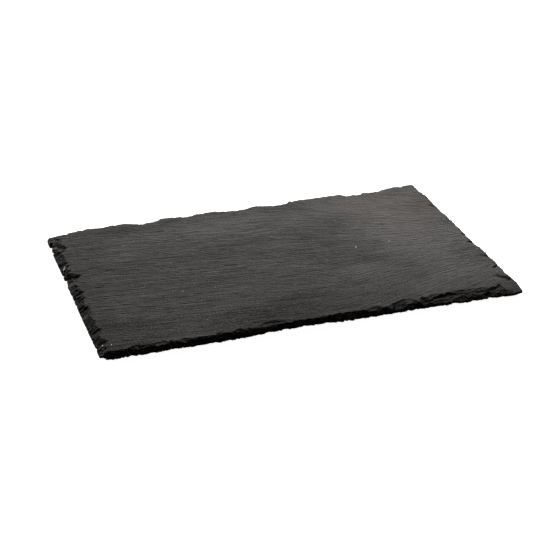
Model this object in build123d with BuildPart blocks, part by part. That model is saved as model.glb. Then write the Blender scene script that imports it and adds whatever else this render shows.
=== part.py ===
from build123d import *

import os
from math import atan2, cos, hypot, sin

# Slate serving board: one riven slab with knapped edges, on four stick-on rubber feet.
# Millimetres. The origin is on the table under the middle of the board, with +X along its
# length, +Y across its width towards the back and +Z up.

# Slab, measured over its lower outline, which is where the stone was broken to size
length = 265.0
width = 162.5
flare = 2.2  # the front side runs out this much more at its right end
flare_start = 0.75  # of the front side, from its left end
thickness = 5.2
front_left_nip = 3.6  # taken off this corner, along both sides
back_left_nip = 2.5
back_right_nip = 3.0
tip_nip_length = 6.5  # the front right tip, along the front
tip_nip_width = 1.4  # and along the right side
hollow_depth = 1.8  # the front side is broken a little hollow near its middle
hollow_span = 58.0
hollow_place = 0.43  # of the front side, from its left end

# Feet
foot_diameter = 16.0  # where the foot is glued on
foot_height = 1.8
foot_draft = 14.0  # degrees, so that the foot is narrower on the table
foot_rim_radius = 0.4
foot_inset = 24.0  # from the sides of the board to the middle of a foot
film_thickness = 0.2
film_margin = 0.5  # the film stops this far inside the rim of its foot

# Scars left by the flakes that were knocked off each side, from its left or front end.
# place: middle of the scar, as a share of the side
# spread: how long the scar is along the side
# bite: how far it reaches in over the top face
# sole: height of its lower end on the wall, as a share of the thickness
front_scars = [
    (0.035, 20.0, 1.4, 0.50),
    (0.085, 22.0, 2.5, 0.45),
    (0.135, 20.0, 2.4, 0.45),
    (0.185, 22.0, 1.0, 0.60),
    (0.230, 20.0, 1.2, 0.55),
    (0.275, 20.0, 1.3, 0.60),
    (0.320, 18.0, 2.3, 0.45),
    (0.362, 16.0, 1.3, 0.60),
    (0.402, 17.0, 1.8, 0.50),
    (0.452, 20.0, 1.5, 0.55),
    (0.500, 20.0, 1.3, 0.60),
    (0.545, 20.0, 2.3, 0.48),
    (0.590, 20.0, 1.6, 0.52),
    (0.632, 15.0, 2.4, 0.50),
    (0.693, 21.0, 5.2, 0.45),
    (0.740, 18.0, 4.4, 0.42),
    (0.796, 34.0, 9.0, 0.42),
    (0.855, 24.0, 6.4, 0.28),
    (0.905, 20.0, 3.6, 0.30),
    (0.940, 24.0, 5.4, 0.30),
]
left_scars = [
    (0.030, 22.0, 4.0, 0.20),
    (0.095, 24.0, 4.9, 0.15),
    (0.160, 22.0, 5.6, 0.10),
    (0.215, 22.0, 4.6, 0.15),
    (0.270, 22.0, 4.2, 0.20),
    (0.325, 24.0, 5.2, 0.10),
    (0.388, 24.0, 4.6, 0.15),
    (0.455, 24.0, 5.2, 0.10),
    (0.520, 22.0, 4.4, 0.20),
    (0.602, 12.0, 6.6, 0.10),
    (0.655, 22.0, 4.3, 0.20),
    (0.712, 22.0, 4.7, 0.10),
    (0.777, 24.0, 5.0, 0.15),
    (0.835, 20.0, 4.6, 0.10),
    (0.905, 14.0, 2.4, 0.62),
    (0.955, 14.0, 1.8, 0.66),
]
back_scars = [
    (0.002, 56.0, 5.8, 0.30),
    (0.134, 18.0, 1.8, 0.45),
    (0.247, 30.0, 4.5, 0.30),
    (0.323, 16.0, 0.9, 0.60),
    (0.357, 20.0, 2.3, 0.40),
    (0.496, 36.0, 3.5, 0.35),
    (0.602, 30.0, 3.6, 0.35),
    (0.715, 34.0, 0.9, 0.60),
    (0.817, 22.0, 4.8, 0.30),
    (0.875, 24.0, 6.0, 0.68),
]
right_scars = [
    (0.040, 20.0, 0.7, 0.75),
    (0.092, 20.0, 1.8, 0.55),
    (0.146, 22.0, 2.8, 0.35),
    (0.210, 20.0, 2.1, 0.45),
    (0.269, 20.0, 1.9, 0.50),
    (0.336, 20.0, 2.0, 0.45),
    (0.402, 20.0, 3.0, 0.30),
    (0.469, 20.0, 3.2, 0.30),
    (0.530, 18.0, 2.2, 0.45),
    (0.590, 18.0, 2.1, 0.45),
    (0.639, 18.0, 2.5, 0.40),
    (0.718, 22.0, 2.7, 0.35),
    (0.796, 20.0, 2.2, 0.45),
    (0.845, 18.0, 2.0, 0.50),
    (0.918, 22.0, 2.4, 0.40),
]
# Corner scars run in from a corner, at half way between its two sides.
front_left_scar = (14.0, 3.6, 0.30)  # spread, bite, sole
front_right_scar = (46.0, 16.0, 0.30)
back_left_scar = (12.0, 3.0, 0.60)
back_right_scar = (14.0, 3.2, 0.40)

overrun = 2.0  # a cutter runs this far past the stone at both ends

slab_bottom = foot_height + film_thickness
slab_top = slab_bottom + thickness
half_length = length / 2
nip_share = tip_nip_length / ((1 - flare_start) * length)  # of the flared stretch
half_width = (width + flare * (1 - nip_share)) / 2  # out to where the tip is nipped
front_edge = half_width - width
flared_edge = front_edge - flare  # at the front right corner, before the nip
out_left, out_right = Vector(-1, 0, 0), Vector(1, 0, 0)
out_front, out_back = Vector(0, -1, 0), Vector(0, 1, 0)
up = Vector(0, 0, 1)

os.makedirs("parts", exist_ok=True)


def scar_cutter(rim, outward, spread, bite, sole):
    """Round cutter for one scar: the plane it starts on, its radius and its length.

    The floor of the scar falls from the top face, a bite inside rim, to the wall at rim.
    """
    drop = thickness * (1 - sole)
    slope = atan2(drop, bite)
    scoop = bite * sin(slope)
    radius = (spread**2 / 4 + scoop**2) / (2 * scoop)
    downhill = outward * cos(slope) - up * sin(slope)
    off_floor = outward * sin(slope) + up * cos(slope)
    upper_end = rim - outward * bite
    start = upper_end - downhill * overrun + off_floor * radius
    return Plane(origin=start, z_dir=downhill), radius, hypot(drop, bite) + 2 * overrun


def side_cutters(first_corner, along, outward, scars, flared=0.0):
    """The cutters of all the scars on one side of the slab, which may be flared at its end."""
    found = []
    for place, spread, bite, sole in scars:
        stand_out = flared * max(0.0, place - flare_start) / (1 - flare_start)
        rim = first_corner + along * place + outward * stand_out
        found.append(scar_cutter(rim, outward, spread, bite, sole))
    return found


front_left = Vector(-half_length, front_edge, slab_top)
front_right = Vector(half_length, flared_edge, slab_top)
back_left = Vector(-half_length, half_width, slab_top)
back_right = Vector(half_length, half_width, slab_top)
along_length = Vector(length, 0, 0)

cutters = [
    *side_cutters(front_left, along_length, out_front, front_scars, flare),
    *side_cutters(front_left, back_left - front_left, out_left, left_scars),
    *side_cutters(back_left, along_length, out_back, back_scars),
    *side_cutters(front_right, back_right - front_right, out_right, right_scars),
    scar_cutter(front_left, (out_front + out_left).normalized(), *front_left_scar),
    scar_cutter(front_right, (out_front + out_right).normalized(), *front_right_scar),
    scar_cutter(back_left, (out_back + out_left).normalized(), *back_left_scar),
    scar_cutter(back_right, (out_back + out_right).normalized(), *back_right_scar),
]

# Slab
hollow_middle = hollow_place * length - half_length
with BuildPart() as slab:
    with BuildSketch(Plane.XY.offset(slab_bottom)):
        with BuildLine():
            front_run = Line(
                (-half_length + front_left_nip, front_edge),
                (hollow_middle - hollow_span / 2, front_edge),
            )
            hollow_run = ThreePointArc(
                front_run @ 1,
                (hollow_middle, front_edge + hollow_depth),
                (hollow_middle + hollow_span / 2, front_edge),
            )
            Polyline(
                hollow_run @ 1,
                (flare_start * length - half_length, front_edge),
                (half_length - tip_nip_length, -half_width),
                (half_length, flared_edge + tip_nip_width),
                (half_length, half_width - back_right_nip),
                (half_length - back_right_nip, half_width),
                (-half_length + back_left_nip, half_width),
                (-half_length, half_width - back_left_nip),
                (-half_length, front_edge + front_left_nip),
                front_run @ 0,
            )
        make_face()
    extrude(amount=thickness)
    for cutter_plane, cutter_radius, cutter_length in cutters:
        with BuildSketch(cutter_plane):
            Circle(cutter_radius)
        extrude(amount=cutter_length, mode=Mode.SUBTRACT)
slab.part.label = "slate_slab"
export_step(slab.part, "parts/slate_slab.step")

# Feet, each with the film that bonds it to the underside of the slab
foot_x = half_length - foot_inset
foot_y = half_width - foot_inset
foot_places = {
    "front_left": (-foot_x, -foot_y),
    "front_right": (foot_x, -foot_y),
    "back_left": (-foot_x, foot_y),
    "back_right": (foot_x, foot_y),
}
for corner, (x, y) in foot_places.items():
    with BuildPart() as foot:
        with BuildSketch(Plane((x, y, foot_height))):
            Circle(foot_diameter / 2)
        extrude(amount=-foot_height, taper=foot_draft)
        fillet(foot.faces().sort_by(Axis.Z)[0].edges(), foot_rim_radius)
    foot.part.label = f"foot_{corner}"
    export_step(foot.part, f"parts/foot_{corner}.step")

    with BuildPart() as film:
        with BuildSketch(Plane((x, y, foot_height))):
            Circle(foot_diameter / 2 - film_margin)
        extrude(amount=film_thickness)
    film.part.label = f"adhesive_{corner}"
    export_step(film.part, f"parts/adhesive_{corner}.step")
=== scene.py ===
import math

import bpy
import numpy as np
from mathutils import Matrix, Vector
from mathutils.bvhtree import BVHTree


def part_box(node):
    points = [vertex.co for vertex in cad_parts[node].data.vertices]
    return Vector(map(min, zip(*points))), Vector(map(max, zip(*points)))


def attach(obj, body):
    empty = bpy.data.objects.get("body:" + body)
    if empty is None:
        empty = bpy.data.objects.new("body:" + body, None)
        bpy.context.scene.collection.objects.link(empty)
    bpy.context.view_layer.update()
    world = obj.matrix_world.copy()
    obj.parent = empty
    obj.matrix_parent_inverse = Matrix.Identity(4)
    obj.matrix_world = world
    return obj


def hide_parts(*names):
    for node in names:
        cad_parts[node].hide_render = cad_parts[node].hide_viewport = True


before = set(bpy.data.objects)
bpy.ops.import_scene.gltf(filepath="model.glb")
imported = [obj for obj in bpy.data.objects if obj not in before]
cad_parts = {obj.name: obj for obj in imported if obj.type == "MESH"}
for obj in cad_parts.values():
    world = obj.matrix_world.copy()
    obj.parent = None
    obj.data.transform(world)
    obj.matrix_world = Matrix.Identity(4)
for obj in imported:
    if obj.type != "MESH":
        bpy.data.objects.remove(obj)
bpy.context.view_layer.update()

mm = 0.001
print("frame loaded, nodes:", len(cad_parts))

# which pattern each noise takes, so that every run is the same
pattern = {
    "sway": 5,
    "looseChips": 11,
    "swell": 21,
    "ripple": 31,
    "waver": 33,
    "fine": 41,
    "step": 51,
    "underside": 61,
    "topLeaf": 67,
    "leafWave": 71,
    "crumble": 73,
    "terrace": 81,
    "jag": 91,
    "fineFacet": 111,
    "knob": 121,
    "facet": 151,
}


# smooth lattice noise between 0 and 1
def softNoise(u, v, seed):
    iu, iv = np.floor(u).astype(np.int64), np.floor(v).astype(np.int64)
    fu, fv = u - iu, v - iv
    fu, fv = fu * fu * (3 - 2 * fu), fv * fv * (3 - 2 * fv)

    # large odd numbers that scatter the whole numbers a and b
    def knot(a, b):
        h = (a * 374761393 + b * 668265263 + seed * 1442695041) & 0xFFFFFFFF
        h = ((h ^ (h >> 13)) * 1274126177) & 0xFFFFFFFF
        return ((h ^ (h >> 16)) & 0xFFFF) / 0xFFFF

    first = knot(iu, iv) * (1 - fu) + knot(iu + 1, iv) * fu
    second = knot(iu, iv + 1) * (1 - fu) + knot(iu + 1, iv + 1) * fu
    return first * (1 - fv) + second * fv


def layeredNoise(u, v, seed, octaves=3):
    total, weight, size = 0, 1.0, 0
    for octave in range(octaves):
        total = total + weight * softNoise(u * 2**octave, v * 2**octave, seed + 17 * octave)
        size += weight
        weight *= 0.5
    return total / size


def smoothStep(v, start, end):
    t = np.clip((v - start) / (end - start), 0, 1)
    return t * t * (3 - 2 * t)


# 1 at the middle and 0 at both ends, in millimetres
def archOver(place, middle, half):
    return np.clip(1 - ((place - middle * mm) / (half * mm)) ** 2, 0, 1)


# little flat facets, each a tilted plane in its own cell, roughly 0 to 1
def facetNoise(u, v, seed, tilt=2.4):
    iu, iv = np.floor(u), np.floor(v)
    nearest = np.full(np.shape(u), np.inf)
    value = np.zeros(np.shape(u))
    for du in (-1, 0, 1):
        for dv in (-1, 0, 1):
            cu, cv = iu + du, iv + dv
            pu = cu + softNoise(cu, cv, seed)
            pv = cv + softNoise(cu, cv, seed + 1)
            gap = np.hypot(u - pu, v - pv)
            leanU = softNoise(cu, cv, seed + 2) - 0.5
            leanV = softNoise(cu, cv, seed + 3) - 0.5
            plane = softNoise(cu, cv, seed + 4) + tilt * (leanU * (u - pu) + leanV * (v - pv))
            value = np.where(gap < nearest, plane, value)
            nearest = np.minimum(gap, nearest)
    return value


# the split of the stone: lines of grain run along x, sink to the right and gather at the right end
grain = {
    "sink": 0.12,           # across the board, per length along it
    "fanStart": 22.0 * mm,
    "fanSoft": 15.0 * mm,
    "fanRate": 0.009 / mm,
}


def grainAcross(x, y):
    fan = np.maximum(x - grain["fanStart"], 0)
    return y * (1 + grain["fanRate"] * fan**2 / (fan + grain["fanSoft"])) + grain["sink"] * x


# the slab's mesh
slab = {
    "coreInset": 12 * mm,   # width of the band that is worked as a broken edge
    "columns": 390,         # stations along the front and back
    "rows": 276,            # stations along the two ends
    "columnStep": 5,        # the middle of the top has one column for so many stations
    "underStep": 6,         # and the underside one for so many
    "cornerSteps": 20,
    "topRings": 16,
    "underRings": 3,
    "crowding": 1.5,        # the rings lie closer towards the rim
    "footRise": 0.1 * mm,   # of the underside, at most, next to the lower edge
    "solidLevels": 64,      # heights at which the solid is measured
    "skin": 0.02 * mm,      # the stone stays this far inside the solid's box
    "weld": 0.01 * mm,      # closer points are one
    "sharpAngle": 35,       # degrees
}

low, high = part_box("slate_slab")
halfLength, halfWidth, thickness = high.x, high.y, high.z - low.z
coreX, coreY = halfLength - slab["coreInset"], halfWidth - slab["coreInset"]


# places around the slab: the point on the outline, the core point behind it and its grid line
def edgeStations():
    nx, ny, nc = slab["columns"], slab["rows"], slab["cornerSteps"]
    xs = np.linspace(-coreX, coreX, nx + 1)
    ys = np.linspace(-coreY, coreY, ny + 1)
    rise = slab["coreInset"] * np.arange(1, nc + 1) / nc
    found = []

    def corner(sx, sy, col, row, alongX):
        firstLeg = [(sx * (coreX + r), sy * halfWidth) for r in rise]
        lastLeg = [(sx * halfLength, sy * (coreY + r)) for r in rise[:-1][::-1]]
        if not alongX:
            firstLeg = [(sx * halfLength, sy * (coreY + r)) for r in rise]
            lastLeg = [(sx * (coreX + r), sy * halfWidth) for r in rise[:-1][::-1]]
        for px, py in firstLeg + lastLeg:
            found.append((px, py, sx * coreX, sy * coreY, col, row))

    for i in range(nx + 1):
        found.append((xs[i], -halfWidth, xs[i], -coreY, i, 0))
    corner(1, -1, nx, 0, True)
    for j in range(ny + 1):
        found.append((halfLength, ys[j], coreX, ys[j], nx, j))
    corner(1, 1, nx, ny, False)
    for i in range(nx, -1, -1):
        found.append((xs[i], halfWidth, xs[i], coreY, i, ny))
    corner(-1, 1, 0, ny, True)
    for j in range(ny, -1, -1):
        found.append((-halfLength, ys[j], -coreX, ys[j], 0, j))
    corner(-1, -1, 0, 0, False)
    return np.array(found), xs, ys


stations, gridX, gridY = edgeStations()
outline, core = stations[:, 0:2], stations[:, 2:4]
edgeX, edgeY = outline.T
gridCol, gridRow = stations[:, 4].astype(int), stations[:, 5].astype(int)
ray = outline - core
reach = np.linalg.norm(ray, axis=1)
ray = ray / reach[:, None]
along = np.cumsum(np.linalg.norm(np.diff(outline, axis=0, prepend=outline[-1:]), axis=1))
touch = 0.001 * mm  # a station this close to a side is on it
sides = {
    "front": edgeY < -halfWidth + touch,
    "right": edgeX > halfLength - touch,
    "back": edgeY > halfWidth - touch,
    "left": edgeX < -halfLength + touch,
}
print("edge stations:", len(stations))


# where each station lies along its side
def alongSide(side):
    return edgeX if side in ("front", "back") else edgeY


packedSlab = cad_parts["slate_slab"].data
packedCorners = [v.co for v in packedSlab.vertices]
solid = BVHTree.FromPolygons(packedCorners, [p.vertices for p in packedSlab.polygons])


# how far the solid reaches from the core at each height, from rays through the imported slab
def measureSolid():
    heights = np.linspace(slab["skin"], thickness - slab["skin"], slab["solidLevels"])
    found = np.zeros((len(core), len(heights)))
    for i, (cx, cy) in enumerate(core):
        way = Vector((ray[i, 0], ray[i, 1], 0))
        for k, h in enumerate(heights):
            hit = solid.ray_cast(Vector((cx, cy, low.z + h)), way)
            found[i, k] = hit[3] if hit[0] else reach[i]
    return heights, found


solidHeights, solidReach = measureSolid()
solidEdge = solidReach.max(axis=1)
print("solid measured")


# how far the solid reaches at these heights, one for each station
def reachAt(h):
    place = (h - solidHeights[0]) / (solidHeights[1] - solidHeights[0])
    place = np.clip(place, 0, len(solidHeights) - 1.001)  # so that there is always a level above
    k = place.astype(int)
    f = place - k
    row = np.arange(len(core))
    return solidReach[row, k] * (1 - f) + solidReach[row, k + 1] * f


# riven faces: height of each form, then its length and width
riven = {
    "sway": (3 * mm, 45 * mm, 30 * mm),      # the lines of grain wander sideways
    "swell": (0.20 * mm, 70 * mm, 45 * mm),
    "ripple": (0.05 * mm, 16 * mm, 2.4 * mm),
    "fine": (0.02 * mm, 8 * mm, 1.4 * mm),
    "step": (0.07 * mm, 60 * mm, 9 * mm),
    "underside": (0.25 * mm, 50 * mm, 20 * mm),
    "stepLevel": 0.62,      # where the noise passes this, the stone steps down
    "stepRun": 0.03,
    "rimShare": 0.35,       # of the relief is left at the rim
    "rimBand": 15 * mm,
}

# steps in the top: from x, y to x, y, drop and the way over which the low ground rises again, in
# millimetres; the low ground lies to the right of the way from the first place to the second
creases = [
    (-131.5, 76.5, -126.8, 67.0, 0.60, 3.5),
    (-129.6, 70.4, -122.4, 57.2, 2.00, 12.0),
    (123.2, -60.8, 131.0, -69.6, 1.10, 6.0),
    (125.0, -52.0, 132.4, -48.2, 1.30, 3.0),
    (126.0, -32.4, 131.0, -37.4, 0.60, 5.0),
    (126.8, 47.2, 131.2, 44.4, 0.90, 2.5),
    (59.0, 52.9, 57.0, 36.9, 0.16, 24.0),
    (57.0, 38.9, 61.0, 17.9, 0.18, 24.0),
    (60.5, 19.9, 74.0, -11.2, 0.16, 20.0),
    (-92.0, 46.9, -118.0, 41.9, 0.10, 12.0),
    (-6.0, -45.1, -52.0, -39.1, 0.10, 16.0),
    (40.0, 60.9, -30.0, 66.8, 0.10, 14.0),
]
creaseLook = {
    "waver": 0.5 * mm,
    "waverSize": 4 * mm,
    "edge": 0.6 * mm,       # width of the step itself
    "fadeIn": 0.25,         # of its length
    "fadeOut": 0.15,
}

# knobbly corner on the top
knob = {
    "middle": (-129.0 * mm, 67.5 * mm),
    "halfSize": (4.6 * mm, 9.5 * mm),
    "depth": 0.7 * mm,
    "facetSize": (1.6 * mm, 2.4 * mm),
    "deepest": 1.4,         # of the depth
    "rim": 0.4,             # share of the corner over which it fades
}


def creaseDrop(x, y):
    total = 0
    waver = softNoise(x / creaseLook["waverSize"], y / creaseLook["waverSize"], pattern["waver"]) - 0.5
    for ax, ay, bx, by, drop, fade in creases:
        span = math.hypot(bx - ax, by - ay) * mm
        ux, uy = (bx - ax) * mm / span, (by - ay) * mm / span
        rx, ry = x - ax * mm, y - ay * mm
        beside = rx * uy - ry * ux + creaseLook["waver"] * waver
        part = np.clip((rx * ux + ry * uy) / span, 0, 1)
        ends = smoothStep(part, 0, creaseLook["fadeIn"]) * smoothStep(1 - part, 0, creaseLook["fadeOut"])
        sunk = smoothStep(beside, 0, creaseLook["edge"]) * smoothStep(fade * mm - beside, 0, fade * mm)
        total = total + drop * mm * ends * sunk
    return total


def knobDrop(x, y):
    (px, py), (halfX, halfY), (sizeX, sizeY) = knob["middle"], knob["halfSize"], knob["facetSize"]
    away = ((x - px) / halfX) ** 2 + ((y - py) / halfY) ** 2
    facet = np.clip(facetNoise(x / sizeX, y / sizeY, pattern["knob"]), 0, knob["deepest"])
    return knob["depth"] * smoothStep(1 - away, 0, knob["rim"]) * facet


# how far the riven top lies below the flat solid
def topRelief(x, y):
    far, length, wide = riven["sway"]
    line = grainAcross(x, y) + far * (softNoise(x / length, y / wide, pattern["sway"]) - 0.5)
    height, length, wide = riven["swell"]
    relief = height * layeredNoise(x / length, y / wide, pattern["swell"], octaves=2)
    for name in ("ripple", "fine"):
        height, length, wide = riven[name]
        relief = relief + height * softNoise(x / length, line / wide, pattern[name])
    height, length, wide = riven["step"]
    step = (softNoise(x / length, line / wide, pattern["step"]) - riven["stepLevel"]) / riven["stepRun"]
    relief = relief + height * np.clip(step, 0, 1)
    inside = np.minimum(halfLength - np.abs(x), halfWidth - np.abs(y))
    least = riven["rimShare"]
    relief = relief * (least + (1 - least) * smoothStep(inside, 0, riven["rimBand"]))
    return relief + creaseDrop(x, y) + knobDrop(x, y)


def bottomRelief(x, y):
    height, length, wide = riven["underside"]
    return height * layeredNoise(x / length, grainAcross(x, y) / wide, pattern["underside"], octaves=4)


# where the edge changes, from the first place to the second: the front right tip and the back left
# corner are hardly worn, and there the top follows the solid down to the outline; the big scars lie
# left of the tip
changes = {
    "tipWear": (8 * mm, 20 * mm),           # away from the tip
    "tipWearLeast": 0.15,
    "cornerWear": (10 * mm, 20 * mm),       # away from the back left corner
    "cornerWearLeast": 0.1,
    "scars": (26 * mm, 31 * mm),            # along the front, to the right
    "settleFront": (119.5 * mm, 122 * mm),
    "lowerFront": (110 * mm, 116 * mm),
    "slopeFront": (118 * mm, 124 * mm),
    "settleRight": (50 * mm, 60 * mm),      # along the right end, to the front
    "slopeRight": (76 * mm, halfWidth),
    "settleLeft": (56 * mm, 60 * mm),       # along the left end, to the back
    "settleBack": (124 * mm, 130 * mm),     # along the back, to the left
}


def changeOn(side, place, name):
    return np.where(sides[side], smoothStep(place, *changes[name]), 0)


# what is left of the wear beside a corner
def wearBy(x, y, name):
    least = changes[name + "Least"]
    return least + (1 - least) * smoothStep(np.hypot(edgeX - x, edgeY - y), *changes[name])


whole = wearBy(halfLength, -halfWidth, "tipWear") * wearBy(-halfLength, halfWidth, "cornerWear")
tipSettle = np.maximum(changeOn("front", edgeX, "settleFront"), changeOn("right", -edgeY, "settleRight"))
flaky = changeOn("front", edgeX, "scars") * (1 - tipSettle)
tipSlope = np.where(sides["right"], changeOn("right", -edgeY, "slopeRight"),
                    changeOn("front", edgeX, "slopeFront"))
settle = np.maximum(tipSettle, changeOn("left", edgeY, "settleLeft"))
settle = np.maximum(settle, changeOn("back", -edgeX, "settleBack"))
lowered = np.where(sides["front"], changeOn("front", edgeX, "lowerFront"), settle)

tipShape = {
    "bend": 6 * mm,         # over this way the top bends down to the outline at the front right tip
    "frontWall": 1.9 * mm,  # height left there at the front
    "rightWall": 3.0 * mm,  # and on the right
    "wallChange": 5 * mm,
    "inside": 0.1 * mm,     # the solid's top is measured this far inside its edge
}


# height of the top this far out from the core, for every station
def topHeight(out):
    x, y = (core + ray * out[:, None]).T
    z = high.z - topRelief(x, y)
    for i in np.nonzero(lowered)[0]:
        px, py = core[i] + ray[i] * min(out[i], solidEdge[i] - tipShape["inside"])
        hit = solid.ray_cast(Vector((px, py, high.z + mm)), Vector((0, 0, -1)))[0]
        z[i] -= lowered[i] * (high.z - hit.z)
    near = np.clip(1 - (solidEdge - out) / tipShape["bend"], 0, 1) ** 2
    wall = tipShape["rightWall"] - tipShape["frontWall"]
    wall = tipShape["frontWall"] + wall * smoothStep(edgeY + halfWidth, 0, tipShape["wallChange"])
    return z - tipSlope * near * np.maximum(z - low.z - wall, 0)


# chips that stand out on each side, in millimetres: place along it, width, depth, then the floor as a
# share of the thickness and how far up the chip its floor slopes; the steep end faces the front on the two
# ends of the board and left on the back, and a negative width turns it round
chips = {
    "left": [
        (82.2, 7.0, 3.0, 0.35, 0.8),
        (70.5, 9.0, 2.4, -1.0, 0.5),
        (60.0, -7.0, 1.8, -1.0, 0.5),
        (54.9, 5.0, 1.8, 0.20, 1.0),
        (22.0, 9.0, 2.1, -1.0, 0.5),
        (-3.2, 6.0, 3.4, 0.05, 1.0),
        (-11.0, 6.0, 2.4, 0.05, 1.0),
        (-23.0, 7.0, 2.6, 0.05, 1.0),
        (-39.1, 6.0, 2.4, 0.10, 1.0),
        (-51.5, 7.0, 2.4, 0.05, 1.0),
        (-66.4, 6.0, 2.8, 0.10, 1.0),
        (-69.0, -12.0, 0.8, -1.0, 0.5),
    ],
    "back": [
        (-132.5, -7.0, 3.0, 0.35, 0.8),
    ],
    "right": [
        (82.2, 14.0, 3.4, -1.0, 0.5),
        (71.0, 4.0, 1.6, 0.30, 1.0),
        (60.0, 5.0, 1.4, 0.30, 1.0),
        (45.9, 6.0, 0.8, 0.30, 1.0),
        (24.0, 5.0, 1.6, 0.30, 1.0),
        (13.0, 7.0, 2.0, 0.20, 1.0),
        (4.8, 5.0, 2.2, 0.35, 1.0),
        (-1.1, 5.0, 2.4, 0.35, 1.0),
        (-13.2, 5.0, 3.2, 0.40, 1.0),
        (-33.0, 5.0, 1.8, 0.35, 1.0),
        (-66.0, -10.0, 2.2, -1.0, 0.5),
    ],
}

# the small ones, scattered over all sides: least and most
looseChips = {
    "count": 150,
    "width": (1.5, 6.0),    # millimetres
    "depth": (0.2, 1.2),
    "depthPower": 1.5,      # so that shallow ones are more common
    "floor": (0.15, 0.8),
    "slope": 1.0,
    "steepFront": 0.75,     # share that isn't turned round
}


def allChips():
    found = []
    for side, row in chips.items():
        found += [(side, c * mm, w * mm, d * mm, *shape) for c, w, d, *shape in row]
    rng = np.random.default_rng(pattern["looseChips"])
    for _ in range(looseChips["count"]):
        i = np.searchsorted(along, rng.uniform(0, along[-1])) % len(core)
        side = next(name for name, mask in sides.items() if mask[i])
        wide = rng.uniform(*looseChips["width"]) * mm
        turn = 1 if rng.random() < looseChips["steepFront"] else -1
        deep = rng.uniform(*looseChips["depth"]) ** looseChips["depthPower"] * mm
        floor = rng.uniform(*looseChips["floor"])
        found.append((side, alongSide(side)[i], wide * turn, deep, floor, looseChips["slope"]))
    return found


def chipCut(h, cuts):
    total = np.zeros(len(core))
    for side, centre, wide, deep, floor, slope in cuts:
        t = (centre - alongSide(side)) / wide
        inside = sides[side] & (t >= 0) & (t <= 1)
        ramp = np.clip((h / thickness - floor) / (slope * (1 - floor)), 0, 1)
        total = np.maximum(total, np.where(inside, deep * (1 - t) * ramp, 0))
    return total


# notch in the left end, with an upright wall at its back
notch = {
    "wall": 18.6 * mm,      # place along the end
    "width": 10.5 * mm,
    "wallDepth": 9.6 * mm,
    "endDepth": 4.8 * mm,
    "outerFloor": 0.30,     # of the thickness
    "innerFloor": 0.82,
}


# how far out the stone goes inside the notch
def notchLimit(h):
    t = (notch["wall"] - edgeY) / notch["width"]
    inside = sides["left"] & (t >= 0) & (t <= 1)
    rise = (h / thickness - notch["outerFloor"]) / (notch["innerFloor"] - notch["outerFloor"])
    depth = notch["wallDepth"] + (notch["endDepth"] - notch["wallDepth"]) * t
    return np.where(inside, reach - depth * np.clip(rise, 0, 1), reach)


# rim of the top over the big scars at the front right, in millimetres: x, y, height of the lip, then width
# and drop of the facet below it, and the height of the upright face under that
scarRim = [
    (28.0, -79.6, 0.25, 1.0, 0.4, 0.5),
    (33.0, -77.5, 0.25, 2.4, 1.0, 0.4),
    (37.0, -76.9, 0.25, 2.4, 1.2, 0.4),
    (40.0, -80.1, 0.30, 0.3, 0.3, 0.6),
    (45.4, -78.4, 0.30, 1.6, 1.0, 0.3),
    (50.4, -75.3, 0.25, 3.0, 1.6, 0.2),
    (54.8, -74.2, 0.25, 3.6, 1.4, 0.4),
    (57.0, -74.6, 0.25, 4.4, 0.6, 0.9),
    (60.4, -75.8, 0.25, 3.6, 0.5, 0.9),
    (62.6, -79.2, 0.30, 0.3, 0.3, 0.9),
    (64.2, -78.0, 0.25, 1.0, 0.5, 0.6),
    (66.0, -75.4, 0.25, 3.0, 1.5, 0.6),
    (68.2, -75.5, 0.25, 2.6, 1.2, 0.7),
    (70.4, -76.8, 0.20, 2.2, 1.1, 0.8),
    (72.8, -74.2, 0.15, 2.4, 0.7, 1.0),
    (76.0, -73.4, 0.15, 1.7, 0.5, 1.2),
    (79.4, -74.2, 0.20, 0.4, 0.2, 1.5),
    (86.0, -74.3, 0.20, 0.2, 0.1, 1.4),
    (90.5, -73.8, 0.25, 2.2, 0.9, 0.5),
    (95.5, -75.0, 0.25, 2.0, 0.8, 0.3),
    (100.0, -75.0, 0.10, 2.2, 0.8, 0.4),
    (104.0, -74.9, 0.10, 2.6, 0.9, 0.6),
    (108.0, -76.2, 0.15, 2.0, 0.8, 0.6),
    (110.8, -78.2, 0.30, 0.6, 0.3, 0.7),
    (114.4, -76.6, 0.30, 0.2, 0.1, 0.9),
    (117.8, -75.4, 0.30, 0.2, 0.1, 0.9),
    (119.4, -73.9, 0.30, 0.1, 0.1, 0.7),
    (121.0, -76.8, 0.10, 0.1, 0.1, 0.1),
    (132.5, -80.2, 0.10, 0.1, 0.1, 0.1),
]

# flakes off the rest of the front rim, in millimetres: middle, half length, how far in, then as above
flakes = [
    (-109.0, 5.5, 3.0, 0.70, 2.0, 0.8, 0.5),
    (-97.0, 6.5, 2.8, 0.35, 2.4, 0.7, 0.5),
    (-83.0, 4.8, 2.2, 0.30, 1.8, 0.7, 0.5),
    (-72.0, 6.0, 1.0, 0.05, 1.0, 0.6, 0.2),
    (-49.5, 5.5, 2.8, 0.50, 1.8, 0.8, 0.6),
    (-29.5, 10.0, 3.9, 0.60, 3.6, 0.3, 0.6),
]

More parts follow.
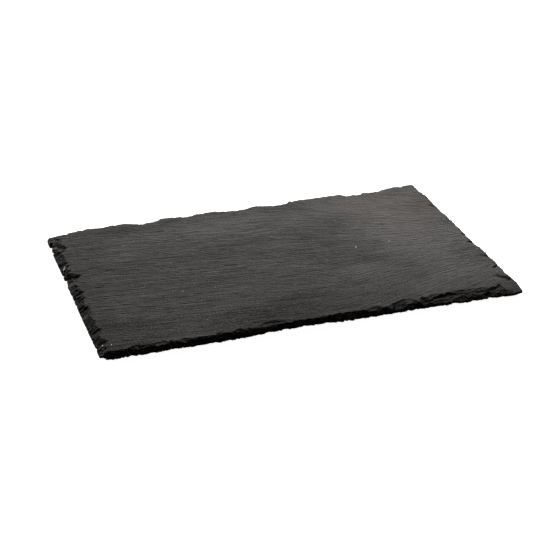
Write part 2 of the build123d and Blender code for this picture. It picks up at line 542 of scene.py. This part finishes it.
# where the back rim stands further out than the solid's, or less far: middle, half length and way in
# millimetres
backRim = [
    (-118.0, 11.0, 1.4),
    (-102.0, 5.0, 1.3),
    (-85.5, 5.0, 2.6),
    (-77.0, 6.0, 1.6),
    (-65.0, 6.0, 0.9),
    (-52.5, 5.0, 2.0),
    (-44.6, 4.4, 4.4),
    (-23.5, 8.0, 5.0),
    (-4.5, 3.0, 0.8),
    (9.0, 6.0, 1.2),
    (18.5, 4.0, 1.0),
    (43.5, 9.0, 4.0),
    (55.0, 3.0, 1.0),
    (63.0, 5.0, 1.0),
    (69.0, 4.0, 1.4),
    (78.5, 3.5, -0.4),
    (83.5, 3.0, 1.0),
    (87.0, 3.5, -1.0),
    (95.5, 3.5, 1.3),
    (107.0, 7.0, -2.0),
    (120.0, 5.0, 1.6),
]


scarFit = {
    "rounds": 8,
    "leastSlant": 0.3,      # of a ray towards the front
    "leastReach": 0.5 * mm,
}


# how far out the top leaf goes over the big scars; a few rounds settle it where the rays fan out
def scarReach():
    rimX, rimY = np.array(scarRim).T[:2] * mm
    out = np.full(len(core), slab["coreInset"])
    for _ in range(scarFit["rounds"]):
        x = core[:, 0] + ray[:, 0] * out
        out = (-np.interp(x, rimX, rimY) - coreY) / np.maximum(-ray[:, 1], scarFit["leastSlant"])
    return np.clip(out, scarFit["leastReach"], reach)


# shape of the rim, for every station: how far in it is, its lip, width and drop of the facet below, and the
# face under that
def rimShape():
    table = np.array(scarRim).T * mm
    shape = [np.zeros(len(core))] + [flaky * np.interp(edgeX, table[0], column) for column in table[2:]]
    for middle, half, *sizes in flakes:
        arch = np.where(sides["front"], archOver(edgeX, middle, half), 0)
        shape = [np.maximum(s, arch * size * mm) for s, size in zip(shape, sizes)]
    return shape


# the rim before wear
def bareRim(inward):
    rim = np.minimum(reachAt(np.full(len(core), thickness)), solidEdge - inward)
    for middle, half, way in backRim:
        rim = rim + np.where(sides["back"], archOver(edgeX, middle, half) * way * mm, 0)
    rim = rim + (scarReach() - rim) * flaky
    return rim + (solidEdge - rim) * settle


wear = {
    "jag": 0.55 * mm,       # how ragged the lines of the leaves are
    "jagLength": 3.5 * mm,
    "jagLeaf": 1.7,         # how much the raggedness differs from leaf to leaf
    "facet": 1.6 * mm,      # on the left end
    "sideFacet": 0.5,       # and shares of it on the other sides
    "scarFacet": 0.6,       # and on the big scars
    "facetSize": 3.6 * mm,
    "sideSize": 0.7,
    "scarSize": 1.3,
    "leftTall": 1.0,        # height of a facet for its length, on the left end
    "sideTall": 0.6,
    "fineFacet": 0.45 * mm,
    "fineSize": 1.2 * mm,
    "footWear": 0.2,        # share left at the foot of the two ends
    "footHeight": 0.25,     # of the thickness
}


# one value on the left end, one on the big scars and one on the other sides
def bySide(left, scar, other):
    return np.where(sides["left"], left, other + (scar - other) * flaky)


# a line round the edge after wear: about as far out as before, but uneven, and chipped
def worn(out, h, k, cuts):
    leafRow = np.full(len(core), wear["jagLeaf"] * k)
    ragged = wear["jag"] * layeredNoise(along / wear["jagLength"], leafRow, pattern["jag"])
    size = wear["facetSize"] * bySide(1.0, wear["scarSize"], wear["sideSize"])
    deep = wear["facet"] * bySide(1.0, wear["scarFacet"], wear["sideFacet"])
    tall = np.where(sides["left"], wear["leftTall"], wear["sideTall"])
    facet = deep * np.clip(facetNoise(along / size, h / (tall * size), pattern["facet"]), 0, None)
    fineTall = wear["sideTall"] * wear["fineSize"]
    fine = wear["fineFacet"] * facetNoise(along / wear["fineSize"], h / fineTall, pattern["fineFacet"])
    mean = 0.5 * (wear["jag"] + deep + wear["fineFacet"])
    foot = wear["footWear"] + (1 - wear["footWear"]) * smoothStep(h / thickness, 0, wear["footHeight"])
    share = whole * np.where(sides["left"] | sides["right"], foot, 1.0)
    out = np.minimum(out, notchLimit(h)) - (ragged + facet + fine - mean) * share - chipCut(h, cuts)
    return np.minimum(out, reach - slab["skin"])


leaf = {
    "top": 0.45 * mm,
    "topLength": 13 * mm,
    "topRange": (0.4, 1.6),  # thinnest and thickest, as shares of it
    "lipShare": 0.3,        # of the top leaf
    "shares": (0.14, 0.17, 0.11, 0.16, 0.13, 0.15, 0.14),  # leaves under the top one, of what is left
    "wave": 0.12 * mm,
    "waveLength": 14 * mm,
    "waveLeaf": 3.0,        # how much a wave differs from leaf to leaf
    "nibble": 0.5 * mm,     # most that is lost off the lower edge
    "nibbleLength": 5 * mm,
    "nibbleGain": 2.4,      # noise times gain, less the bare part
    "nibbleBare": 0.9,
    "terraceLength": 11 * mm,
    "terraceLeaf": 2.0,
    "terraceGain": 1.5,
    "terraceBare": 0.3,
    "leftTerrace": 0.4,     # how stepped the left end is
    "scarTerrace": 0.2,     # and the floor of the largest scar, between these places
    "scarFloor": (54 * mm, 60 * mm, 84 * mm, 92 * mm),
    "tipFloor": (109 * mm, 115 * mm),  # beside the tip it isn't stepped at all
}


# noise along the edge, with another row of it for each leaf
def edgeNoise(length, row, seed):
    return softNoise(along / length, np.full(len(core), row), seed)


# heights of the leaves under the top one, from their upper line down to the lower edge
def leafBounds(top, first):
    shares = np.array(leaf["shares"]) / sum(leaf["shares"])
    below = 1 - np.concatenate([[0], np.cumsum(shares)[:-1]])
    bounds = []
    for k, share in enumerate(below):
        swing = 2 * edgeNoise(leaf["waveLength"], leaf["waveLeaf"] * k, pattern["leafWave"]) - 1
        wave = leaf["wave"] * swing * top / thickness
        bounds.append(share * (top - first) + (wave if k > 0 else 0))
    crumble = layeredNoise(along / leaf["nibbleLength"], np.zeros(len(core)), pattern["crumble"])
    return bounds + [leaf["nibble"] * np.clip(leaf["nibbleGain"] * crumble - leaf["nibbleBare"], 0, 1)]


# how stepped the leaves are, for every station
def terraceShare():
    start, level, fall, end = leaf["scarFloor"]
    floor = smoothStep(edgeX, start, level) * (1 - smoothStep(edgeX, fall, end))
    front = np.minimum(1 - (1 - leaf["scarTerrace"]) * floor, 1 - smoothStep(edgeX, *leaf["tipFloor"]))
    return np.where(sides["left"], leaf["leftTerrace"], np.where(sides["front"], front, 1.0))


# lines round the edge, each as how far out and how high it is, from the top down: the rim, its lip and
# facet, and then the upper, middle and lower line of each leaf of stone
def leafLines():
    cuts = allChips()
    inward, lip, facetWide, facetDrop, under = rimShape()
    bare = bareRim(inward)
    rim = worn(bare, np.full(len(core), thickness), 0, cuts)
    top = topHeight(rim) - low.z
    thin, thick = leaf["topRange"]
    swing = edgeNoise(leaf["topLength"], 0.0, pattern["topLeaf"])
    plain = leaf["top"] * (thin + (thick - thin) * swing)
    squeeze = top / thickness
    lip = np.maximum(lip, leaf["lipShare"] * plain) * squeeze
    facetDrop = facetDrop * squeeze
    under = np.maximum(under, (1 - leaf["lipShare"]) * plain) * squeeze
    first = lip + facetDrop + under

    lines = [(rim, top)]
    facetOut = bare + facetWide
    for out, h in ((bare, top - lip), (facetOut, top - lip - facetDrop), (facetOut, top - first)):
        lines.append((worn(out, h, 0, cuts), h))
    bounds = leafBounds(top, first)
    share = terraceShare()
    for k, (upper, lower) in enumerate(zip(bounds[:-1], bounds[1:]), 1):
        terrace = edgeNoise(leaf["terraceLength"], leaf["terraceLeaf"] * k, pattern["terrace"])
        stepped = share * np.clip(leaf["terraceGain"] * terrace - leaf["terraceBare"], 0, 1)
        for part in (0.0, 0.5, 1.0):
            h = upper + part * (lower - upper)
            lines.append((worn(reachAt(h + stepped * (upper - h)), h, k, cuts), h))
    return lines


leaves = leafLines()
print("edge lines:", len(leaves))


def buildSlab():
    verts, faces = [], []
    n = len(core)
    nx, ny = slab["columns"], slab["rows"]

    def addVerts(x, y, z):
        start = len(verts)
        verts.extend(zip(x, y, z))
        return np.arange(start, start + len(x))

    # the next line round the edge; where it meets the last one, the two share their corners
    def addRing(last, x, y, z):
        ids = last.copy()
        for i, spot in enumerate(zip(x, y, z)):
            if math.dist(spot, verts[last[i]]) > slab["weld"]:
                ids[i] = len(verts)
                verts.append(spot)
        return ids

    # top middle: all stations on its border, wider columns inside it
    topIds = -np.ones((nx + 1, ny + 1), int)
    cols = np.arange(0, nx + 1, slab["columnStep"])
    for j in range(ny + 1):
        use = np.arange(nx + 1) if j in (0, ny) else cols
        x, y = gridX[use], np.full(len(use), gridY[j])
        topIds[use, j] = addVerts(x, y, high.z - topRelief(x, y))
    for j in range(ny):
        for a, b in zip(cols[:-1], cols[1:]):
            near = range(a, b + 1) if j == 0 else (a, b)
            far = range(b, a - 1, -1) if j == ny - 1 else (b, a)
            faces.append([topIds[i, j] for i in near] + [topIds[i, j + 1] for i in far])

    # underside middle
    underIds = -np.ones((nx + 1, ny + 1), int)
    underCols = np.arange(0, nx + 1, slab["underStep"])
    underRows = np.arange(0, ny + 1, slab["underStep"])
    for j in range(ny + 1):
        if j in (0, ny):
            use = np.arange(nx + 1)
        elif j in underRows:
            use = underCols
        else:
            use = np.array([0, nx])
        x, y = gridX[use], np.full(len(use), gridY[j])
        underIds[use, j] = addVerts(x, y, low.z + bottomRelief(x, y))
    for c, d in zip(underRows[:-1], underRows[1:]):
        for a, b in zip(underCols[:-1], underCols[1:]):
            south = [underIds[i, c] for i in (range(a, b) if c == 0 else (a,))]
            east = [underIds[b, j] for j in (range(c, d) if b == nx else (c,))]
            north = [underIds[i, d] for i in (range(b, a, -1) if d == ny else (b,))]
            west = [underIds[a, j] for j in (range(d, c, -1) if a == 0 else (d,))]
            faces.append((south + east + north + west)[::-1])

    # rings of the broken edge, from the core over the rim and round to the underside
    rings = [topIds[gridCol, gridRow]]
    rimReach = leaves[0][0]
    for t in np.arange(1, slab["topRings"] + 1) / slab["topRings"]:
        out = rimReach * (1 - (1 - t) ** slab["crowding"])
        x, y = (core + ray * out[:, None]).T
        rings.append(addRing(rings[-1], x, y, topHeight(out)))
    for out, h in leaves[1:]:
        x, y = (core + ray * out[:, None]).T
        rings.append(addRing(rings[-1], x, y, low.z + h))
    footReach, footHeight = leaves[-1]
    for t in np.arange(1, slab["underRings"]) / slab["underRings"]:
        x, y = (core + ray * (footReach * (1 - t) ** slab["crowding"])[:, None]).T
        h = np.minimum(bottomRelief(x, y), footHeight + slab["footRise"] * t)
        rings.append(addRing(rings[-1], x, y, low.z + h))
    rings.append(underIds[gridCol, gridRow])
    for inner, outer in zip(rings[:-1], rings[1:]):
        for i in range(n):
            k = (i + 1) % n
            quad = []
            for v in (inner[i], outer[i], outer[k], inner[k]):
                if v not in quad:
                    quad.append(v)
            if len(quad) > 2:
                faces.append(quad)

    mesh = bpy.data.meshes.new("slateSlab")
    mesh.from_pydata(verts, [], faces)
    piece = bpy.data.objects.new("slateSlab", mesh)
    bpy.context.scene.collection.objects.link(piece)
    mesh.validate()
    for p in mesh.polygons:
        p.use_smooth = True
    mesh.set_sharp_from_angle(angle=math.radians(slab["sharpAngle"]))
    return piece


slabPiece = buildSlab()
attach(slabPiece, "root")
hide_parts("slate_slab")
print("slab built, faces:", len(slabPiece.data.polygons))


# a socket that can be used in sums
class Value:
    def __init__(self, tree, socket):
        self.tree, self.socket = tree, socket

    def join(self, operation, first, second):
        node = self.tree.nodes.new("ShaderNodeMath")
        node.operation = operation
        for slot, item in zip(node.inputs, (first, second)):
            if isinstance(item, Value):
                self.tree.links.new(item.socket, slot)
            else:
                slot.default_value = item
        return Value(self.tree, node.outputs[0])

    def __add__(self, other):
        return self.join("ADD", self, other)

    # sum starts from a plain 0
    def __radd__(self, other):
        return self if isinstance(other, int) and other == 0 else self.join("ADD", other, self)

    def __sub__(self, other):
        return self.join("SUBTRACT", self, other)

    def __rsub__(self, other):
        return self.join("SUBTRACT", other, self)

    def __mul__(self, other):
        return self.join("MULTIPLY", self, other)

    def __rmul__(self, other):
        return self.join("MULTIPLY", other, self)

    def __truediv__(self, other):
        return self.join("DIVIDE", self, other)

    def __rtruediv__(self, other):
        return self.join("DIVIDE", other, self)


class Finish:
    def __init__(self, owner):
        self.owner = owner
        owner.use_nodes = True
        self.tree = owner.node_tree
        self.tree.nodes.clear()

    # one node: its type, its settings and what goes into its sockets
    def node(self, kind, settings=None, sockets=None, out=0):
        node = self.tree.nodes.new("ShaderNode" + kind)
        for key, item in (settings or {}).items():
            setattr(node, key, item)
        for key, item in (sockets or {}).items():
            if isinstance(item, Value):
                self.tree.links.new(item.socket, node.inputs[key])
            else:
                node.inputs[key].default_value = item
        return Value(self.tree, node.outputs[out]) if node.outputs else node

    # x, y and z of a vector
    def axes(self, vector):
        parts = self.node("SeparateXYZ", None, {"Vector": vector}).socket.node.outputs
        return [Value(self.tree, socket) for socket in parts]

    def noise(self, u, v, w, detail=0.0, rough=0.5):
        spot = self.node("CombineXYZ", None, {"X": u, "Y": v, "Z": w})
        sockets = {"Vector": spot, "Scale": 1.0, "Detail": detail, "Roughness": rough}
        return self.node("TexNoise", None, sockets) - 0.5

    # the third output is the colour
    def mix(self, factor, first, second):
        sockets = {"Factor": factor, "A": first, "B": second}
        return self.node("Mix", {"data_type": "RGBA"}, sockets, 2)

    def above(self, value, least):
        return self.node("Math", {"operation": "MAXIMUM"}, {0: value, 1: least})

    # 0 to 1 as the value goes from start to end
    def ease(self, value, start, end):
        sockets = {"Value": value, "From Min": start, "From Max": end, "To Min": 0.0, "To Max": 1.0}
        return self.node("MapRange", {"interpolation_type": "SMOOTHSTEP"}, sockets)

    # 1 in the middle of an oval and 0 at its rim
    def oval(self, u, v, rim=1.0, middle=0.0):
        return self.ease(u * u + v * v, rim, middle)

    def finish(self, shader, kind="OutputMaterial"):
        self.node(kind, None, {"Surface": shader})
        return self.owner


slateLook = {
    "tone": (1.064, 1.0, 0.969),   # a hint of warmth in the grey
    "level": 0.0652,
    "darkest": 0.05,               # and palest, as shares of the level
    "palest": 2.6,
    "brokenShadeLevel": 0.022,          # tone of faces that lean this far, and how much of it: a darker fresh fracture, darkened further as painted shade
    "brokenShadeLean": (0.95, 0.4),
    "brokenShadeShare": 0.7,
    "rust": (0.112, 0.102, 0.084, 1),
    "rustPlace": (122, 63, 62, 44),  # x, y, half length and half width in millimetres
    "rustRim": (1.0, 0.2),
    "rustShare": 0.3,
    "speck": (0.22, 0.22, 0.21, 1),
    "speckCell": 8,                # millimetres from one to the next
    "speckSize": (0.55, 0.25),     # millimetres from its middle, where it begins and is full
    "speckChance": (0.65, 1.1),
    "speckLean": (0.8, 0.95),      # none on broken faces
    "whiteFleck": (0.95, 0.95, 0.94, 1),
    "whiteFleckRim": (1.1, 0.7),
    "whiteFleckFoot": (3.4, 3.8),     # none lower than this, in millimetres
    "roughness": 0.68,
    "gritRoughness": 0.3,
    "gloss": 0.02,
    "bump": 0.9 * mm,
}

# grain of the split, from long streaks down to grit: millimetres along, across and up, detail, strength in
# the tone and in the relief, and how much stronger it is towards the front
slateGrain = {
    "long": (40, 1.3, 2.0, 1.0, 0.9, 0.65, 0.0),
    "streak": (14, 1.0, 1.5, 0.0, 0.7, 0.8, -0.3),
    "hair": (4.5, 0.9, 1.0, 0.0, 0.7, 0.75, -0.2),
    "grit": (0.9, 1.1, 0.9, 0.0, 0.8, 0.65, 0.8),
}

# what is wider than the grain: millimetres along and across, layer and detail of the noise, and strength
slateDrift = {
    "sway": (45, 30, 3.0, 1.0, 4.0),  # millimetres that the lines of grain wander
    "broad": (60, 14, 5.0, 2.0, 0.5),
    "mottle": (55, 38, 7.0, 3.0, 0.8),
    "mottleRough": 0.55,
    "shadedSplit": (11, 1.2, 11.0, 0.0, 2.4),  # openings between the lines, sunk in the relief and darkened by painted shade
    "shadedSplitLevel": 0.13,
    "splitDepth": 1.5,
    "frontY": (-25, -60),          # where the front begins, and its right end
    "frontX": (90, 40),
}

# soft paler and darker places on the top, partly the stone's own tone and partly painted light and shade:
# paler towards the back and right, where more light falls, and darker along the front; x, y, half length,
# half width in millimetres, strength
toneAndPaintedLightPatches = [
    (104, 12, 60, 60, 0.74),
    (122, 10, 18, 60, -0.20),
    (88, 68, 50, 24, 0.34),
    (50, 50, 40, 14, 0.14),
    (-30, 60, 110, 30, 0.28),
    (-60, 77, 76, 10, -0.20),
    (112, 72, 26, 14, 0.18),
    (-112, 30, 26, 30, -0.12),
    (-90, 41, 26, 12, 0.08),
    (-36, 24, 30, 11, -0.24),
    (52, 47, 10, 9, -0.14),
    (65, 3, 14, 13, -0.22),
    (-124, -30, 14, 60, -0.14),
    (51, -32, 27, 14, 0.42),
    (98, -54, 46, 32, 0.30),
    (108, -50, 30, 13, 0.34),
    (84, -81, 46, 8, -0.40),
    (-16, -67, 70, 24, -0.38),
    (-110, -64, 34, 18, -0.22),
    (-131.2, -74, 3.2, 8, 1.0),
    (-132, 69, 5, 13, 0.9),
]

# white flecks: x, y, half length along y, half width in millimetres, lean
slateWhiteFlecks = [
    (-130.35, 33.0, 2.2, 0.5, 0.5),
    (-128.75, -68.3, 1.3, 0.42, 0.0),
    (-124.3, -71.8, 0.5, 0.32, 0.0),
    (54.6, 1.4, 0.5, 0.45, 0.0),
    (78.5, 2.9, 0.35, 0.35, 0.0),
    (-68.4, -22.2, 0.3, 0.28, 0.0),
    (-60.8, -37.5, 0.28, 0.25, 0.0),
]


def slateTone(level):
    return (*(level * c for c in slateLook["tone"]), 1)


def slateFinish():
    f = Finish(bpy.data.materials.new("slate"))
    look, drift = slateLook, slateDrift
    x, y, z = (part * (1 / mm) for part in f.axes(f.node("TexCoord", out="Object")))
    fan = f.above(x - grain["fanStart"] / mm, 0.0)
    gather = fan * fan / (fan + grain["fanSoft"] / mm) * (grain["fanRate"] * mm)
    length, wide, layer, detail, far = drift["sway"]
    line = y * (1 + gather) + x * grain["sink"] + f.noise(x / length, y / wide, layer, detail) * far

    # tone and relief of the grain
    length, wide, layer, detail, strength = drift["broad"]
    tone = f.noise(x / length, line / wide, layer, detail) * strength
    front = f.ease(y, *drift["frontY"]) * f.ease(x, *drift["frontX"])
    height = 0
    layers = {}
    for name, (length, wide, tall, detail, strength, rise, more) in slateGrain.items():
        across = y if name == "grit" else line
        layers[name] = f.noise(x / length, across / wide, z / tall, detail) * (1 + front * more)
        tone = tone + layers[name] * strength
        height = height + layers[name] * rise
    length, wide, layer, detail, strength = drift["mottle"]
    tone = tone + f.noise(x / length, y / wide, layer, detail, drift["mottleRough"]) * strength
    length, wide, layer, detail, strength = drift["shadedSplit"]
    shadedSplit = f.above(-drift["shadedSplitLevel"] - f.noise(x / length, line / wide, layer, detail), 0.0)
    # the openings get painted shade in the tone, and sink in the relief
    tone = tone - shadedSplit * strength
    height = height - shadedSplit * drift["splitDepth"]
    # painted light and shade laid on the tone, with some of the stone's own paler and darker places
    for px, py, halfX, halfY, strength in toneAndPaintedLightPatches:
        tone = tone + f.oval((x - px) / halfX, (y - py) / halfY) * strength
    darkest, palest = look["darkest"], look["palest"]
    tone = f.node("Clamp", None, {"Value": (1 - darkest + tone) / (palest - darkest)})
    stone = f.mix(tone, slateTone(look["level"] * darkest), slateTone(look["level"] * palest))

    # a breath of rust at the back right corner
    px, py, halfX, halfY = look["rustPlace"]
    rusty = f.oval((x - px) / halfX, (y - py) / halfY, *look["rustRim"]) * look["rustShare"]
    stone = f.mix(rusty, stone, look["rust"])

    # faces that lean away from the top are darker and have no pale streaks: partly a fresh fracture's
    # darker tone, partly painted shade on the walls
    facing = f.axes(f.node("NewGeometry", out="Normal"))[2]
    brokenAndShaded = f.ease(facing, *look["brokenShadeLean"]) * look["brokenShadeShare"]
    stone = f.mix(brokenAndShaded, stone, slateTone(look["brokenShadeLevel"]))

    # scattered pale specks, and the few that stand out
    spot = f.node("CombineXYZ", None, {"X": x, "Y": y, "Z": 0.0})
    sockets = {"Vector": spot, "Scale": 1 / look["speckCell"]}
    cells = f.node("TexVoronoi", {"voronoi_dimensions": "2D"}, sockets)
    lucky = f.node("SeparateColor", None, {"Color": Value(f.tree, cells.socket.node.outputs["Color"])})
    speck = f.ease(cells * look["speckCell"], *look["speckSize"]) * f.ease(lucky, *look["speckChance"])
    stone = f.mix(speck * f.ease(facing, *look["speckLean"]), stone, look["speck"])
    fleckMask = sum(f.oval((x - px - (y - py) * lean) / halfX, (y - py) / halfY, *look["whiteFleckRim"])
                for px, py, halfY, halfX, lean in slateWhiteFlecks)
    stone = f.mix(fleckMask * f.ease(z, *look["whiteFleckFoot"]), stone, look["whiteFleck"])

    bump = f.node("Bump", None, {"Strength": 1.0, "Distance": look["bump"], "Height": height})
    return f.finish(f.node("BsdfPrincipled", None, {
        "Base Color": stone,
        "Roughness": look["roughness"] + layers["grit"] * look["gritRoughness"],
        "Specular IOR Level": look["gloss"],
        "Normal": bump,
    }))


slabPiece.data.materials.append(slateFinish())
print("slate finished")


footLook = {
    "rubber": (0.02, 0.02, 0.021, 1),
    "worn": (0.035, 0.035, 0.036, 1),
    "roughness": 0.7,
    "roughnessSwing": 0.3,
    "gritScale": 900.0,
    "gritDetail": 3.0,
    "gritDepth": 0.1 * mm,
    "gritStrength": 0.3,
}


def rubberFinish():
    f = Finish(bpy.data.materials.new("footRubber"))
    place = f.node("TexCoord", out="Object")
    grit = f.node("TexNoise", None, {
        "Vector": place,
        "Scale": footLook["gritScale"],
        "Detail": footLook["gritDetail"],
    })
    relief = {"Strength": footLook["gritStrength"], "Distance": footLook["gritDepth"], "Height": grit}
    return f.finish(f.node("BsdfPrincipled", None, {
        "Base Color": f.mix(grit, footLook["rubber"], footLook["worn"]),
        "Roughness": footLook["roughness"] + (grit - 0.5) * footLook["roughnessSwing"],
        "Normal": f.node("Bump", None, relief),
    }))


filmLook = {
    "glue": (0.5, 0.48, 0.43, 1),
    "pale": (0.62, 0.6, 0.55, 1),
    "roughness": 0.4,
    "roughnessSwing": 0.2,
    "hazeScale": 400.0,
    "hazeDetail": 2.0,
}


def filmFinish():
    f = Finish(bpy.data.materials.new("adhesiveFilm"))
    place = f.node("TexCoord", out="Object")
    haze = f.node("TexNoise", None, {
        "Vector": place,
        "Scale": filmLook["hazeScale"],
        "Detail": filmLook["hazeDetail"],
    })
    return f.finish(f.node("BsdfPrincipled", None, {
        "Base Color": f.mix(haze, filmLook["glue"], filmLook["pale"]),
        "Roughness": filmLook["roughness"] + haze * filmLook["roughnessSwing"],
    }))


rubber, film = rubberFinish(), filmFinish()
for name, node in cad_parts.items():
    if name.startswith(("foot_", "adhesive_")):
        node.data.materials.clear()
        node.data.materials.append(rubber if name.startswith("foot_") else film)
print("feet finished")


# metres and watts
studio = {
    "floorSize": 12.0,
    "floorTone": (0.9, 0.9, 0.9, 1),
    "bounce": (0.006, 0.006, 0.006, 1),  # what the floor sends back to the board
    "glow": (0.985, 1.0),                # of the floor as seen, beside the board and far away
    "glowReach": (0.15, 0.9),
    "airLight": 0.003,
    "keyPlace": (0.36, 0.52, 0.42),
    "keySize": 0.5,
    "keyPower": 7.65,
    "fillPlace": (-0.62, 0.62, 0.60),
    "fillSize": 0.6,
    "fillPower": 4.9,
}
black, white = (0, 0, 0, 1), (1, 1, 1, 1)


# 1 for what the camera sees, also through glass and in gloss, and 0 for light that falls on things
def seenDirectly(f):
    rays = ("Is Camera Ray", "Is Glossy Ray", "Is Transmission Ray")
    return f.node("Clamp", None, {"Value": sum(f.node("LightPath", out=name) for name in rays)})


def buildFloor():
    half = studio["floorSize"] / 2
    corners = [(-half, -half, 0), (half, -half, 0), (half, half, 0), (-half, half, 0)]
    mesh = bpy.data.meshes.new("floor")
    mesh.from_pydata(corners, [], [(0, 1, 2, 3)])
    floor = bpy.data.objects.new("floor", mesh)
    bpy.context.scene.collection.objects.link(floor)
    f = Finish(bpy.data.materials.new("paleFloor"))
    seen = seenDirectly(f)
    away = f.node("VectorMath", {"operation": "LENGTH"}, {0: f.node("TexCoord", out="Object")}, "Value")
    near, far = studio["glow"]
    glow = near + f.ease(away, *studio["glowReach"]) * (far - near)
    paper = f.node("BsdfDiffuse", None, {"Color": f.mix(seen, studio["bounce"], studio["floorTone"])})
    bright = f.node("Emission", None, {"Color": f.mix(glow, black, white), "Strength": 1.0})
    dark = f.node("BsdfDiffuse", None, {"Color": black})
    lit = f.node("MixShader", None, {0: seen, 1: dark, 2: bright})
    mesh.materials.append(f.finish(f.node("AddShader", None, {0: paper, 1: lit})))


def addSoftbox(name):
    light = bpy.data.lights.new(name, "AREA")
    light.shape = "SQUARE"
    light.size = studio[name + "Size"]
    light.energy = studio[name + "Power"]
    lamp = bpy.data.objects.new(name, light)
    lamp.location = studio[name + "Place"]
    lamp.rotation_euler = (-lamp.location).to_track_quat("-Z", "Y").to_euler()
    bpy.context.scene.collection.objects.link(lamp)


def addAir():
    f = Finish(bpy.data.worlds.new("studioAir"))
    dim = f.node("Background", None, {"Color": white, "Strength": studio["airLight"]})
    bright = f.node("Background", None, {"Color": white, "Strength": 1.0})
    air = f.node("MixShader", None, {0: seenDirectly(f), 1: dim, 2: bright})
    bpy.context.scene.world = f.finish(air, "OutputWorld")


buildFloor()
addSoftbox("key")
addSoftbox("fill")
addAir()
bpy.context.scene.view_settings.view_transform = "Standard"
print("studio lit")


# the photograph's view, for a square picture
view = {
    "eye": (-265.7 * mm, -764.87 * mm, 416.0 * mm),
    "turn": 19.07,          # degrees, towards +x
    "dip": 27.41,           # below level
    "roll": 0.42,
    "focalPixels": 1425.0,  # in a picture this wide
    "pictureWidth": 550,
    "sensor": 36,           # millimetres
}


def addCamera():
    lens = bpy.data.cameras.new("photoView")
    lens.sensor_width = view["sensor"]
    lens.sensor_fit = "HORIZONTAL"
    lens.lens = view["focalPixels"] / view["pictureWidth"] * view["sensor"]
    camera = bpy.data.objects.new("photoView", lens)
    aim = Matrix.Rotation(math.radians(-view["turn"]), 4, "Z")
    aim = aim @ Matrix.Rotation(math.radians(90 - view["dip"]), 4, "X")
    aim = aim @ Matrix.Rotation(math.radians(view["roll"]), 4, "Z")
    camera.matrix_world = Matrix.Translation(view["eye"]) @ aim
    bpy.context.scene.collection.objects.link(camera)
    bpy.context.scene.camera = camera


addCamera()
print("camera placed")
